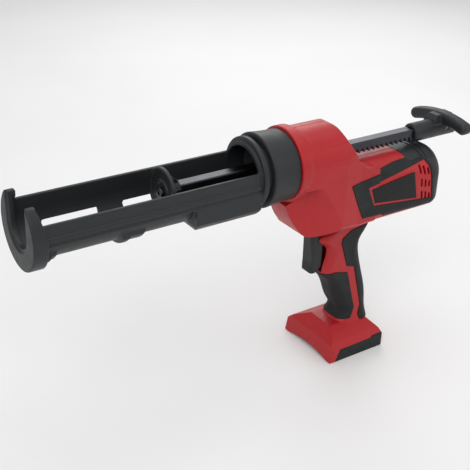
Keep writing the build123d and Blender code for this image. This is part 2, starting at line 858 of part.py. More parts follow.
with BuildPart() as lock_collar:
    with BuildSketch(side_plane()):
        with BuildLine():
            Polyline((COLLAR_FRONT, 30.3), (COLLAR_FRONT, 34.6))
            ThreePointArc((COLLAR_FRONT, 34.6), (COLLAR_FRONT + 0.5, 35.6), (COLLAR_FRONT + 1.6, 36.1))
            ThreePointArc((COLLAR_FRONT + 1.6, 36.1), (COLLAR_FRONT + 14, 34.9), (COLLAR_REAR, 34.4))
            Polyline(
                (COLLAR_REAR, 34.4),
                (COLLAR_REAR, SPIGOT_R + 0.4),
                (-99.5, SPIGOT_R + 0.4),
                (-99.5, 32.7),
                (-103.5, 32.7),
                (-103.5, SPIGOT_R + 0.4),
                (-111.8, SPIGOT_R + 0.4),
                (-111.8, 33.2),
                (COLLAR_FRONT + 3, 33.2),
                (COLLAR_FRONT + 3, 30.3),
                (COLLAR_FRONT, 30.3),
            )
        make_face()
    revolve(axis=Axis((GRIP_X, 0, ROD_Z), (1, 0, 0)))
    add(bayonet_sectors(-100, COLLAR_REAR + 1, 32.7, 40, 60), mode=Mode.SUBTRACT)
save(lock_collar.part, "lock_collar")

with BuildPart() as nose_spigot:
    add(tube_along_rod(SPIGOT_FRONT, -79.5, SPIGOT_R))
    add(bayonet_sectors(-103, -100, 32.3, 32, 0))
    add(tube_along_rod(-89, -79.5, 33.2))
    add(tube_along_rod(SPIGOT_FRONT - 1, -85.5, 27), mode=Mode.SUBTRACT)
    add(tube_along_rod(-90, -75, 12), mode=Mode.SUBTRACT)
save(nose_spigot.part, "nose_spigot")

# ---------------------------------------------------------------- rod
ROD_SEAT = ROD_HALF + FIT


def rack_profile():
    """Side view of the square rod, with the rack teeth cut into its underside."""
    pitch = math.pi * RACK_MODULE
    slope = math.tan(PRESSURE)
    first = math.ceil((RACK_FRONT - DRIVE_X) / pitch)
    last = math.floor((RACK_REAR - DRIVE_X) / pitch)
    pitch_line = -ROD_HALF + RACK_MODULE
    root = pitch_line + 1.25 * RACK_MODULE
    points = []
    for space in range(first, last + 1):
        middle = DRIVE_X + space * pitch
        at_tip = pitch / 4 + RACK_MODULE * slope + 0.06
        at_root = pitch / 4 - 1.25 * RACK_MODULE * slope + 0.06
        points += [
            (middle - at_tip, -ROD_HALF),
            (middle - at_root, root),
            (middle + at_root, root),
            (middle + at_tip, -ROD_HALF),
        ]
    return points


with BuildPart() as rack_rod:
    with BuildSketch(side_plane()):
        Polygon(
            (-211, ROD_HALF),
            (-211, -ROD_HALF),
            *rack_profile(),
            (129, -ROD_HALF),
            (129, ROD_HALF),
            align=None,
        )
    extrude(amount=ROD_HALF, both=True)
    long_edges = rack_rod.edges().filter_by(Axis.X).group_by(Axis.Z)[-1]
    chamfer(long_edges, 0.9)
    add(tube_along_rod(-212, -196, 2.6), mode=Mode.SUBTRACT)
    add(tube_across(-10, 10, 120, 0, 1.55), mode=Mode.SUBTRACT)
save(rack_rod.part, "rack_rod")

with BuildPart() as piston_disc:
    with BuildSketch(side_plane()):
        Polygon(
            (PISTON_FRONT + 1.2, 2.7),
            (PISTON_FRONT + 1.2, 9),
            (PISTON_FRONT, 9),
            (PISTON_FRONT, 11),
            (PISTON_FRONT + 1.6, 12),
            (PISTON_FRONT + 1.6, 19.5),
            (PISTON_FRONT, 20.5),
            (PISTON_FRONT, PISTON_R - 0.6),
            (PISTON_FRONT + 0.6, PISTON_R),
            (PISTON_FRONT + 3.4, PISTON_R),
            (PISTON_FRONT + 4.4, 21),
            (PISTON_FRONT + 6.4, 13),
            (-211, 10),
            (-211, 2.7),
            align=None,
        )
    revolve(axis=Axis((GRIP_X, 0, ROD_Z), (1, 0, 0)))
save(piston_disc.part, "piston_disc")

with BuildPart() as piston_hub:
    add(tube_along_rod(-210.9, -201.5, 9.6))
    chamfer(piston_hub.edges().filter_by(GeomType.CIRCLE), 0.8)
    add(block((-212, -200), (-ROD_SEAT, ROD_SEAT), (-ROD_SEAT, ROD_SEAT)), mode=Mode.SUBTRACT)
save(piston_hub.part, "piston_hub")

with BuildPart() as piston_screw:
    add(tube_along_rod(PISTON_FRONT + 1.2, -197, 2.5))
    with BuildSketch(cross_plane(PISTON_FRONT - 2.4)):
        Circle(5.2)
    extrude(amount=3.6)
    fillet(piston_screw.faces().sort_by(Axis.X)[0].edges(), 1.2)
    with BuildSketch(cross_plane(PISTON_FRONT - 3)):
        RegularPolygon(2.3, 6)
    extrude(amount=2.6, mode=Mode.SUBTRACT)
save(piston_screw.part, "piston_screw")


def handle_bar():
    """Curved cross bar of the pull handle."""
    with BuildPart() as bar:
        with BuildSketch(cross_plane(111.5)):
            with BuildLine() as spine:
                ThreePointArc((-33.5, 7.6), (0, 11.2), (33.5, 5.0))
            SlotArc(spine.edges()[0], 12.4)
        extrude(amount=14)
        fillet(bar.edges(), 4.6)
    return bar.part


with BuildPart() as pull_handle:
    add(tube_along_rod(SLEEVE_FRONT, HANDLE_REAR, 10.0))
    chamfer(pull_handle.edges().filter_by(GeomType.CIRCLE), 1.2)
    with BuildSketch(cross_plane(102)):
        Polygon((-7.5, 0), (-8.8, 7), (-6.2, 15.5), (6.2, 15.5), (8.8, 7), (7.5, 0), align=None)
    extrude(amount=29)
    with BuildSketch(side_plane()):
        Polygon(
            (70, -12),
            (70, 11),
            (102, 11),
            (108, 16.6),
            (127, 16.6),
            (131.5, 9),
            (136, 9),
            (136, -12),
            align=None,
        )
    extrude(amount=12, both=True, mode=Mode.INTERSECT)
    add(handle_bar())
    add(block((SLEEVE_FRONT - 1, 129.1), (-ROD_SEAT, ROD_SEAT), (-ROD_SEAT, ROD_SEAT)), mode=Mode.SUBTRACT)
    add(tube_across(-12, 12, 120, 0, 1.55), mode=Mode.SUBTRACT)
save(pull_handle.part, "pull_handle")

with BuildPart() as handle_pin:
    add(tube_across(-9.2, 9.2, 120, 0, 1.5, 0.7))
save(handle_pin.part, "handle_pin")

# ---------------------------------------------------------------- gear case and rod bushes
ROD_HOLE = ROD_HALF + 0.1


def rod_bush(x_from, x_to, outer_r):
    """A square-holed bush that guides the rod."""
    with BuildPart() as bush:
        add(tube_along_rod(x_from, x_to, outer_r))
        add(block((x_from - 1, x_to + 1), (-ROD_HOLE, ROD_HOLE), (-ROD_HOLE, ROD_HOLE)), mode=Mode.SUBTRACT)
    return bush.part


with BuildPart() as rod_bushes:
    add(rod_bush(-87, -78, 11.95))
    add(rod_bush(-35, -29, 8.95))
save(rod_bushes.part, "rod_bushes")

with BuildPart() as gear_case:
    with BuildSketch(level_plane(-58)):
        with Locations((-50.7, 0)):
            Rectangle(57.4, 46)
            Rectangle(50.6, 40, mode=Mode.SUBTRACT)
    extrude(amount=72)
    with BuildSketch(side_plane()):
        Polygon((-80, -60), (-80, 13), (-34, 13), (-30, 8), (-26, -8), (-20, -12), (-20, -60), align=None)
    extrude(amount=30, both=True, mode=Mode.INTERSECT)
    add(block((-34, -30), (-20.5, 9.2), (-9.5, 9.5)))
    add(INNER, mode=Mode.INTERSECT)
    add(tube_along_rod(-90, -70, 12), mode=Mode.SUBTRACT)
    add(tube_along_rod(-40, -28, 9), mode=Mode.SUBTRACT)
    add(tube_along_rod(-27, -15, 8.0, height=MOTOR_Z), mode=Mode.SUBTRACT)
    for height in (DRIVE_Z, MOTOR_Z):
        add(tube_across(-30, 30, DRIVE_X, height, 7.5), mode=Mode.SUBTRACT)
save(gear_case.part, "gear_case")

with BuildPart() as shaft_bushes:
    for height, bore in ((DRIVE_Z, 5.0), (MOTOR_Z, 4.0)):
        for y_from in (-22.6, 19.8):
            add(tube_across(y_from, y_from + 2.8, DRIVE_X, height, 7.5, bore + FIT))
save(shaft_bushes.part, "shaft_bushes")

with BuildPart() as input_bearing:
    add(tube_along_rod(-27, -21.9, 8.0, 4.0 + FIT, MOTOR_Z))
save(input_bearing.part, "input_bearing")

# ---------------------------------------------------------------- rack drive and cross shaft
with BuildPart() as output_shaft:
    add(tube_across(-22.4, 22.4, DRIVE_X, DRIVE_Z, 5.0))
save(output_shaft.part, "output_shaft")

with BuildPart() as drive_pinion:
    add(spur_gear(RACK_MODULE, DRIVE_TEETH, 90, -5.7, 5.7, DRIVE_X, DRIVE_Z, 5.0))
save(drive_pinion.part, "drive_pinion")

with BuildPart() as output_gear:
    half_tooth = 180 / OUTPUT_TEETH
    add(spur_gear(SPUR_MODULE, OUTPUT_TEETH, 90 + half_tooth, 10, 17, DRIVE_X, DRIVE_Z, 5.0))
    add(tube_across(6.0, 10, DRIVE_X, DRIVE_Z, 8.0, 5.0))
save(output_gear.part, "output_gear")

with BuildPart() as cross_shaft:
    add(tube_across(-22.4, 22.4, DRIVE_X, MOTOR_Z, 4.0))
save(cross_shaft.part, "cross_shaft")

with BuildPart() as cross_pinion:
    add(spur_gear(SPUR_MODULE, CROSS_TEETH, 90, 9.8, 17.2, DRIVE_X, MOTOR_Z, 4.0))
save(cross_pinion.part, "cross_pinion")

with BuildPart() as bevel_gear:
    half_tooth = 180 / BEVEL_GEAR_TEETH
    centre = (DRIVE_X, MOTOR_Z)
    add(bevel_teeth(lambda d: side_plane(-d), BEVEL_GEAR_TEETH, BEVEL_PINION_TEETH, half_tooth, centre))
    add(tube_across(-14, -10.5, DRIVE_X, MOTOR_Z, 15.0))
    add(tube_across(-20, 0, DRIVE_X, MOTOR_Z, 4.0), mode=Mode.SUBTRACT)
save(bevel_gear.part, "bevel_gear")

with BuildPart() as bevel_pinion:
    centre = (0, MOTOR_Z)
    add(bevel_teeth(lambda d: cross_plane(DRIVE_X + d), BEVEL_PINION_TEETH, BEVEL_GEAR_TEETH, 180, centre))
    add(tube_along_rod(-31, -27.5, 6.5, height=MOTOR_Z))
    add(tube_along_rod(-31, -14.6, 4.0, height=MOTOR_Z))
save(bevel_pinion.part, "bevel_pinion")

with BuildPart() as clutch_hub:
    add(tube_along_rod(-18, -14.6, 11.0, 4.0, MOTOR_Z))
save(clutch_hub.part, "clutch_hub")

with BuildPart() as clutch_disc:
    add(tube_along_rod(-14.6, -13.6, 10.5, 6.0, MOTOR_Z))
save(clutch_disc.part, "clutch_disc")

# ---------------------------------------------------------------- planetary stage
SUN_R = PLANET_MODULE * SUN_TEETH / 2
PLANET_R = PLANET_MODULE * PLANET_TEETH / 2
RING_R = PLANET_MODULE * RING_TEETH / 2
PLANET_ANGLES = (90, 210, 330)


def planet_centre(angle):
    orbit = SUN_R + PLANET_R
    return (orbit * math.cos(math.radians(angle)), MOTOR_Z + orbit * math.sin(math.radians(angle)))


def axial_gear(teeth, phase, x_from, x_to, centre, bore_r):
    """A planetary-stage gear whose axis runs along the gun."""
    pitch_r = PLANET_MODULE * teeth / 2
    tip_r = pitch_r + PLANET_MODULE
    root_r = pitch_r - 1.2 * PLANET_MODULE
    points = gear_points(PLANET_MODULE, teeth, phase, tip_r, root_r, ease=0.1)
    with BuildPart() as gear:
        with BuildSketch(cross_plane(x_from)):
            outline([(centre[0] + a, centre[1] + b) for a, b in points])
            with Locations(centre):
                Circle(bore_r, mode=Mode.SUBTRACT)
        extrude(amount=x_to - x_from)
    return gear.part


with BuildPart() as sun_gear:
    add(axial_gear(SUN_TEETH, 90, -5, 5, (0, MOTOR_Z), 2.0))
save(sun_gear.part, "sun_gear")

for number, angle in enumerate(PLANET_ANGLES, start=1):
    with BuildPart() as planet_gear:
        space_facing_sun = angle + 180 + 180 / PLANET_TEETH
        add(axial_gear(PLANET_TEETH, space_facing_sun, -5, 5, planet_centre(angle), 2.0 + FIT))
    save(planet_gear.part, f"planet_gear_{number}")

with BuildPart() as ring_gear:
    with BuildSketch(cross_plane(-6.5)):
        with Locations((0, MOTOR_Z)):
            Circle(21.4)
        phase = 90 + 180 / RING_TEETH
        deep_r = RING_R + 1.2 * PLANET_MODULE
        spaces = gear_points(PLANET_MODULE, RING_TEETH, phase, deep_r, RING_R - PLANET_MODULE, ease=-0.1)
        Polygon(*[(a, MOTOR_Z + b) for a, b in spaces], align=None, mode=Mode.SUBTRACT)
    extrude(amount=13)
save(ring_gear.part, "ring_gear")

with BuildPart() as planet_carrier:
    add(tube_along_rod(-13.5, -8, 15.5, 0, MOTOR_Z))
save(planet_carrier.part, "planet_carrier")

with BuildPart() as planet_pins:
    for angle in PLANET_ANGLES:
        with BuildSketch(cross_plane(-8)):
            with Locations(planet_centre(angle)):
                Circle(2.0)
        extrude(amount=14)
save(planet_pins.part, "planet_pins")

with BuildPart() as planet_case:
    add(tube_along_rod(-21.5, 14, PLANET_CASE_R, 21.5, MOTOR_Z))
save(planet_case.part, "planet_case")

# ---------------------------------------------------------------- motor
with BuildPart() as motor_front_plate:
    add(tube_along_rod(14, 17, CAN_R, 5.0, MOTOR_Z))
save(motor_front_plate.part, "motor_front_plate")

with BuildPart() as motor_can:
    add(tube_along_rod(17, 70, CAN_R, 20.5, MOTOR_Z))
save(motor_can.part, "motor_can")

with BuildPart() as motor_magnets:
    add(tube_along_rod(22, 60, 20.45, 17.5, MOTOR_Z))
    for z_limits in ((MOTOR_Z + 12, MOTOR_Z + 25), (MOTOR_Z - 25, MOTOR_Z - 12)):
        add(block((20, 62), (-25, 25), z_limits), mode=Mode.SUBTRACT)
save(motor_magnets.part, "motor_magnets")

with BuildPart() as motor_end_cap:
    add(tube_along_rod(70, 74, CAN_R, 5.0, MOTOR_Z))
save(motor_end_cap.part, "motor_end_cap")

with BuildPart() as motor_bearings:
    add(tube_along_rod(13.5, 17, 5.0, SHAFT_R + FIT, MOTOR_Z))
    add(tube_along_rod(70, 74, 5.0, SHAFT_R + FIT, MOTOR_Z))
save(motor_bearings.part, "motor_bearings")

with BuildPart() as rotor_core:
    add(tube_along_rod(24, 58, 16.8, SHAFT_R, MOTOR_Z))
    for angle in range(0, 360, 72):
        turn = math.radians(angle)
        with BuildSketch(cross_plane(23)):
            with Locations((15.5 * math.cos(turn), MOTOR_Z + 15.5 * math.sin(turn))):
                Circle(2.2)
        extrude(amount=36, mode=Mode.SUBTRACT)
save(rotor_core.part, "rotor_core")

with BuildPart() as rotor_shaft:
    add(tube_along_rod(6, 86, SHAFT_R, 0, MOTOR_Z))
    add(tube_along_rod(-5, 6, 2.0, 0, MOTOR_Z))
save(rotor_shaft.part, "rotor_shaft")

with BuildPart() as commutator:
    add(tube_along_rod(60, 69, 7.5, SHAFT_R, MOTOR_Z))
save(commutator.part, "commutator")

FAN_BLADES = 11

with BuildPart() as cooling_fan:
    add(tube_along_rod(76, 77.5, 19.5, 0, MOTOR_Z))
    add(tube_along_rod(76, 85, 5.0, 0, MOTOR_Z))
    for blade in range(FAN_BLADES):
        turn = 2 * math.pi * blade / FAN_BLADES
        lean = turn + 0.35
        with BuildSketch(cross_plane(77)):
            Polygon(
                (4 * math.cos(turn), MOTOR_Z + 4 * math.sin(turn)),
                (19 * math.cos(lean), MOTOR_Z + 19 * math.sin(lean)),
                (19 * math.cos(lean + 0.07), MOTOR_Z + 19 * math.sin(lean + 0.07)),
                (4 * math.cos(turn + 0.3), MOTOR_Z + 4 * math.sin(turn + 0.3)),
                align=None,
            )
        extrude(amount=7.5)
    add(tube_along_rod(70, 90, SHAFT_R, 0, MOTOR_Z), mode=Mode.SUBTRACT)
save(cooling_fan.part, "cooling_fan")

# ---------------------------------------------------------------- trigger and switch
with BuildPart() as trigger:
    with BuildSketch(side_plane()):
        with BuildLine():
            Line((-37, -79), (-52, -79))
            ThreePointArc((-52, -79), (-49.5, -101), (-49, -115))
            ThreePointArc((-49, -115), (-49.9, -119.5), (-51.2, -123.5))
            ThreePointArc((-51.2, -123.5), (-50.3, -126.4), (-47, -127))
            ThreePointArc((-47, -127), (-41, -124.8), (-37, -119))
            Line((-37, -119), (-37, -79))
        make_face()
    extrude(amount=9, both=True)
    with BuildSketch(level_plane(-130)):
        with BuildLine():
            Polyline((-46.5, -9), (-37, -9), (-37, 9), (-46.5, 9))
            ThreePointArc((-46.5, 9), (-52.2, 0), (-46.5, -9))
        make_face()
    extrude(amount=60, mode=Mode.INTERSECT)
save(trigger.part, "trigger")

with BuildPart() as switch_plunger:
    add(tube_along_rod(-37, -15, 2.5, 0, -98))
save(switch_plunger.part, "switch_plunger")

with BuildPart() as trigger_switch:
    add(block((-19, 3), (-9, 9), (-112, -88)))
    fillet(trigger_switch.edges().filter_by(Axis.Y), 2)
    add(tube_along_rod(-20, -7.5, 3.0, 0, -98), mode=Mode.SUBTRACT)
    add(block((3, 6.5), (-6, -3), (-104, -96)))
    add(block((3, 6.5), (3, 6), (-104, -96)))
save(trigger_switch.part, "trigger_switch")

with BuildPart() as trigger_spring:
    with BuildLine():
        coil = Helix(
            pitch=2.9, height=15.6, radius=4.4, center=(GRIP_X - 36.2, 0, ROD_Z - 98), direction=(1, 0, 0)
        )
    with BuildSketch(Plane(origin=coil @ 0, z_dir=coil % 0)):
        Circle(0.45)
    sweep(is_frenet=True)
save(trigger_spring.part, "trigger_spring")

# ---------------------------------------------------------------- electrics
with BuildPart() as control_board:
    add(block((-3, 15), (-0.8, 0.8), (-182, -148)))
    add(block((0, 8), (0.8, 5.5), (-176, -162)))
    add(block((9, 14), (-4.5, -0.8), (-170, -155)))
save(control_board.part, "control_board")

TERMINAL_ROWS = (-10.4, -3.4, 3.6, 10.6)

with BuildPart() as terminal_block:
    add(block((9, 25), (-15, 15), (-213, -201)))
    add(block((12, 22), (-12, 12), (-201, -196)))
    for row_y in TERMINAL_ROWS:
        add(block((11, 23), (row_y - 0.4, row_y + 0.4), (-214, -203)), mode=Mode.SUBTRACT)
save(terminal_block.part, "terminal_block")

with BuildPart() as terminal_blades:
    for row_y in TERMINAL_ROWS:
        add(block((11, 23), (row_y - 0.4, row_y + 0.4), (-219.5, -203)))
save(terminal_blades.part, "terminal_blades")


def lead(points, radius):
    """An insulated wire: straight runs joined by arcs."""
    with BuildPart() as wire:
        with BuildLine() as path:
            FilletPolyline(*points, radius=radius)
        with BuildSketch(Plane(origin=path.line @ 0, z_dir=path.line % 0)):
            Circle(1.0)
        sweep()
    return wire.part


def at(x, y, z):
    """A point given from the foot's centre line and the rod axis."""
    return (GRIP_X + x, y, ROD_Z + z)


with BuildPart() as battery_leads:
    for y in (-8, 8):
        bend_y = y * 0.94
        tab_y = y * 0.56
        run = [at(18, y, -195.9), at(18, y, -184), at(4, bend_y, -166), at(4, bend_y, -114)]
        add(lead([*run, at(4.7, tab_y, -108), at(4.7, tab_y, -104.2)], 3))
save(battery_leads.part, "battery_leads")

with BuildPart() as motor_leads:
    for y in (-6, 6):
        add(lead([at(-4, y, -87.9), at(-4, y, -69.7), at(72, y, -69.7), at(72, y, -66.4)], 2.5))
save(motor_leads.part, "motor_leads")

# ---------------------------------------------------------------- fasteners
with BuildPart() as housing_screws:
    for x, z in SCREWS:
        add(tube_across(-9.5, SCREW_HEAD_Y, x, z, 1.65))
        add(tube_across(SCREW_HEAD_Y, SCREW_HEAD_Y + 2.8, x, z, 3.5))
        with BuildSketch(side_plane(SCREW_HEAD_Y + 2.8)):
            with Locations((x, z)):
                RegularPolygon(1.7, 6)
        extrude(amount=1.6, mode=Mode.SUBTRACT)
save(housing_screws.part, "housing_screws")

with BuildPart() as rear_cap_screws:
    for y in (-CAP_SCREW_Y, CAP_SCREW_Y):
        for x_from, x_to, radius in ((84, CAP_SCREW_SEAT, 1.6), (CAP_SCREW_SEAT, CAP_SCREW_SEAT + 2.5, 3.2)):
            with BuildSketch(cross_plane(x_from)):
                with Locations((y, CAP_SCREW_Z)):
                    Circle(radius)
            extrude(amount=x_to - x_from)
        with BuildSketch(cross_plane(CAP_SCREW_SEAT + 2.5)):
            with Locations((y, CAP_SCREW_Z)):
                RegularPolygon(1.7, 6)
        extrude(amount=-1.4, mode=Mode.SUBTRACT)
save(rear_cap_screws.part, "rear_cap_screws")
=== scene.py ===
"""Cordless cartridge gun: materials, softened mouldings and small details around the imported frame."""
import json
import math

import bpy
from mathutils import Matrix, Vector


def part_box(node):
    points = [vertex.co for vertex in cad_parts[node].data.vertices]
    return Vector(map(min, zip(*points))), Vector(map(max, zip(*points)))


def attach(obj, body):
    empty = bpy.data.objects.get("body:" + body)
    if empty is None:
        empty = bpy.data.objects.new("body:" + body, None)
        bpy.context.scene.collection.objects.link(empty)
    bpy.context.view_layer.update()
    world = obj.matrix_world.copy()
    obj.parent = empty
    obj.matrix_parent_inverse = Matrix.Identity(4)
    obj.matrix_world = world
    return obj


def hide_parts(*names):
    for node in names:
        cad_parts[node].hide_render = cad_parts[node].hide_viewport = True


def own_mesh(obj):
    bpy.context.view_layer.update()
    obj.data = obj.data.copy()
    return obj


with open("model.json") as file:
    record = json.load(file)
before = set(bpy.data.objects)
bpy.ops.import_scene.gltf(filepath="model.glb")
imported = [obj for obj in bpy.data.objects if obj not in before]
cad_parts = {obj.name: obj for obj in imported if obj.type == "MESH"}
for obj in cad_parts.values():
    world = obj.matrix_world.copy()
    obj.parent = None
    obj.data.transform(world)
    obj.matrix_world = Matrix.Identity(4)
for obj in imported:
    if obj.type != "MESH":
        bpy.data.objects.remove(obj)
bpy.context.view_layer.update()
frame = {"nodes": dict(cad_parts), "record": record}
MM = 0.001

LENS = 69.18
SENSOR = 36.0
CLIP_NEAR, CLIP_FAR = 0.01, 20

# ------------------------------------------------------------------ camera
CAMERA_AT = Vector((-0.45775, -0.62776, 0.5519))
AZIMUTH, ELEVATION, ROLL = (math.radians(v) for v in (-34.177, 27.288, 1.635))


def make_camera():
    """Camera at the photograph's angle, with its slight roll."""
    forward = Vector(
        (
            -math.sin(AZIMUTH) * math.cos(ELEVATION),
            math.cos(AZIMUTH) * math.cos(ELEVATION),
            -math.sin(ELEVATION),
        )
    )
    right = Vector((math.cos(AZIMUTH), math.sin(AZIMUTH), 0))
    up = right.cross(forward)
    rolled_right = right * math.cos(ROLL) + up * math.sin(ROLL)
    rolled_up = -right * math.sin(ROLL) + up * math.cos(ROLL)
    data = bpy.data.cameras.new("camera")
    data.lens = LENS
    data.sensor_width = SENSOR
    data.clip_start = CLIP_NEAR
    data.clip_end = CLIP_FAR
    camera = bpy.data.objects.new("camera", data)
    bpy.context.collection.objects.link(camera)
    axes = Matrix((rolled_right, rolled_up, -forward)).transposed().to_4x4()
    camera.matrix_world = Matrix.Translation(CAMERA_AT) @ axes
    bpy.context.scene.camera = camera


# ------------------------------------------------------------------ node graphs
BEVEL_SAMPLES = 6
# How far the rounded normal agrees with the plain one where an edge begins to show, and where it is full
EDGE_BEGINS, EDGE_FULL = 0.985, 0.80
STREAK_DEPTH = 0.02 * MM


class Graph:
    """A material's node tree, with short calls for the nodes that the finishes share."""

    def __init__(self, name):
        self.material = bpy.data.materials.new(name)
        self.material.use_nodes = True
        self.tree = self.material.node_tree
        self.shader = self.tree.nodes["Principled BSDF"]
        self.place = self.tree.nodes.new("ShaderNodeTexCoord").outputs["Object"]

    def link(self, source, target):
        if isinstance(source, (int, float, tuple)):
            target.default_value = source
        else:
            self.tree.links.new(source, target)

    def node(self, kind, **inputs):
        made = self.tree.nodes.new(kind)
        for key, value in inputs.items():
            self.link(value, made.inputs[key])
        return made

    def stretched(self, scale):
        made = self.node("ShaderNodeMapping", Vector=self.place)
        made.inputs["Scale"].default_value = scale
        return made.outputs["Vector"]

    def noise(self, scale, detail=2.0, rough=0.5, vector=None):
        place = vector or self.place
        made = self.node("ShaderNodeTexNoise", Vector=place, Scale=scale, Detail=detail, Roughness=rough)
        return made.outputs["Fac"]

    def cells(self, scale):
        made = self.node("ShaderNodeTexVoronoi", Vector=self.place, Scale=scale)
        return made.outputs["Distance"]

    def spread(self, value, low, high, to_low, to_high):
        """The value with its stretch from low to high made to run from to_low to to_high."""
        made = self.tree.nodes.new("ShaderNodeMapRange")
        self.link(value, made.inputs["Value"])
        limits = {"From Min": low, "From Max": high, "To Min": to_low, "To Max": to_high}
        for key, number in limits.items():
            made.inputs[key].default_value = number
        return made.outputs["Result"]

    def math(self, kind, a, b=0.0):
        made = self.tree.nodes.new("ShaderNodeMath")
        made.operation = kind
        self.link(a, made.inputs[0])
        self.link(b, made.inputs[1])
        return made.outputs["Value"]

    def mix(self, amount, a, b):
        made = self.tree.nodes.new("ShaderNodeMix")
        made.data_type = "RGBA"
        self.link(amount, made.inputs["Factor"])
        self.link(a, made.inputs["A"])
        self.link(b, made.inputs["B"])
        return made.outputs["Result"]

    def rounded(self, radius):
        made = self.tree.nodes.new("ShaderNodeBevel")
        made.samples = BEVEL_SAMPLES
        made.inputs["Radius"].default_value = radius
        return made.outputs["Normal"]

    def edges(self, radius):
        """1 along outer and inner edges and 0 on open surface."""
        wide = self.rounded(radius)
        plain = self.tree.nodes.new("ShaderNodeNewGeometry").outputs["Normal"]
        dot = self.tree.nodes.new("ShaderNodeVectorMath")
        dot.operation = "DOT_PRODUCT"
        self.link(wide, dot.inputs[0])
        self.link(plain, dot.inputs[1])
        return self.spread(dot.outputs["Value"], EDGE_BEGINS, EDGE_FULL, 0.0, 1.0)

    def bump(self, height, strength, distance, normal=None):
        made = self.node("ShaderNodeBump", Height=height)
        made.inputs["Strength"].default_value = strength
        made.inputs["Distance"].default_value = distance
        if normal is not None:
            self.link(normal, made.inputs["Normal"])
        return made.outputs["Normal"]

    def finish(self, color, rough, normal, metallic=0.0, **constants):
        self.link(color, self.shader.inputs["Base Color"])
        self.link(rough, self.shader.inputs["Roughness"])
        self.link(normal, self.shader.inputs["Normal"])
        self.shader.inputs["Metallic"].default_value = metallic
        for key, value in constants.items():
            self.shader.inputs[key.replace("_", " ")].default_value = value
        return self.material


def rgb(r, g, b):
    return (r, g, b, 1.0)


def scaled(color, k):
    return (color[0] * k, color[1] * k, color[2] * k, 1.0)


def moulded(name, color, rough, grain, grain_depth, round_mm, edge_highlight_and_wear, coat=0.0):
    """Textured moulded plastic: spark-eroded grain, slow colour drift, and edges painted brighter as a
    painted highlight that also stands for wear.
    """
    g = Graph(name)
    drift = g.noise(14, 3.0)
    cloud = g.noise(95, 4.0, 0.6)
    base = g.mix(g.spread(drift, 0.3, 0.7, 0, 1), scaled(color, 0.93), scaled(color, 1.06))
    base = g.mix(g.spread(cloud, 0.35, 0.75, 0, 0.35), base, scaled(color, 0.86))
    patches = g.spread(g.noise(210, 3.0), 0.35, 0.62, 0.2, 1.0)
    # Painted highlight along the edges, in random patches, which also stands for worn edges.
    highlit_worn_edge = g.math("MULTIPLY", g.edges(round_mm * MM * 1.4), patches)
    base = g.mix(g.math("MULTIPLY", highlit_worn_edge, 0.55), base, scaled(color, edge_highlight_and_wear))
    shine = g.spread(cloud, 0.3, 0.7, rough - 0.05, rough + 0.06)
    shine = g.math("SUBTRACT", shine, g.math("MULTIPLY", highlit_worn_edge, 0.08))
    fine = g.noise(grain, 2.0, 0.65)
    pits = g.cells(grain * 0.55)
    height = g.math("ADD", fine, g.math("MULTIPLY", pits, 0.6))
    normal = g.bump(height, 0.55, grain_depth * MM, g.rounded(round_mm * MM))
    normal = g.bump(g.noise(42, 1.0), 0.25, 0.06 * MM, normal)
    return g.finish(base, shine, normal, Coat_Weight=coat, Coat_Roughness=0.35, Specular_IOR_Level=0.34)


def rubber(name, color, grain):
    """Soft overmould: matte, with a fine pebble and edges painted brighter as a painted highlight that
    also stands for rubbing wear.
    """
    g = Graph(name)
    cloud = g.noise(60, 4.0, 0.6)
    base = g.mix(g.spread(cloud, 0.35, 0.7, 0, 1), scaled(color, 0.85), scaled(color, 1.18))
    # Painted highlight: the edges are painted almost twice as bright, partly standing for rubbed wear.
    highlit_worn_edge = g.edges(0.9 * MM)
    base = g.mix(g.math("MULTIPLY", highlit_worn_edge, 0.5), base, scaled(color, 1.9))
    pebble = g.cells(grain)
    normal = g.bump(pebble, 0.5, 0.10 * MM, g.rounded(0.7 * MM))
    normal = g.bump(g.noise(grain * 2.3, 2.0), 0.25, 0.04 * MM, normal)
    shine = g.spread(g.noise(110, 3.0), 0.3, 0.7, 0.62, 0.78)
    return g.finish(base, shine, normal, Sheen_Weight=0.04, Specular_IOR_Level=0.24)


def metal(name, color, rough, streak, dark=0.6, round_mm=0.25):
    """Metal with streaks along the axis that streak scales down, cloudy tone and a painted highlight on
    its edges.
    """
    g = Graph(name)
    lines = g.noise(900, 3.0, 0.6, g.stretched(streak))
    cloud = g.noise(48, 4.0, 0.6)
    base = g.mix(g.spread(cloud, 0.35, 0.7, 0, 1), scaled(color, dark), color)
    base = g.mix(g.spread(lines, 0.35, 0.7, 0, 0.35), base, scaled(color, 1.25))
    # Painted highlight: the edges are painted brighter in the base colour.
    base = g.mix(g.math("MULTIPLY", g.edges(round_mm * 1.5 * MM), 0.6), base, scaled(color, 1.7))
    streaky = g.spread(lines, 0.3, 0.7, rough - 0.06, rough + 0.06)
    shine = g.math("ADD", streaky, g.spread(cloud, 0.3, 0.7, -0.04, 0.05))
    normal = g.bump(lines, 0.35, STREAK_DEPTH, g.rounded(round_mm * MM))
    return g.finish(base, shine, normal, 1.0)


def cast(name, color, rough):
    """Castings and magnets: sandy metal skin with a painted highlight on its edges."""
    g = Graph(name)
    sand = g.noise(1300, 3.0, 0.7)
    cloud = g.noise(70, 4.0, 0.6)
    base = g.mix(g.spread(cloud, 0.3, 0.7, 0, 1), scaled(color, 0.75), color)
    # Painted highlight: the edges are painted brighter in the base colour.
    base = g.mix(g.math("MULTIPLY", g.edges(0.5 * MM), 0.6), base, scaled(color, 1.35))
    normal = g.bump(sand, 0.5, 0.05 * MM, g.rounded(0.4 * MM))
    return g.finish(base, g.spread(sand, 0.3, 0.7, rough - 0.06, rough + 0.08), normal, 1.0)


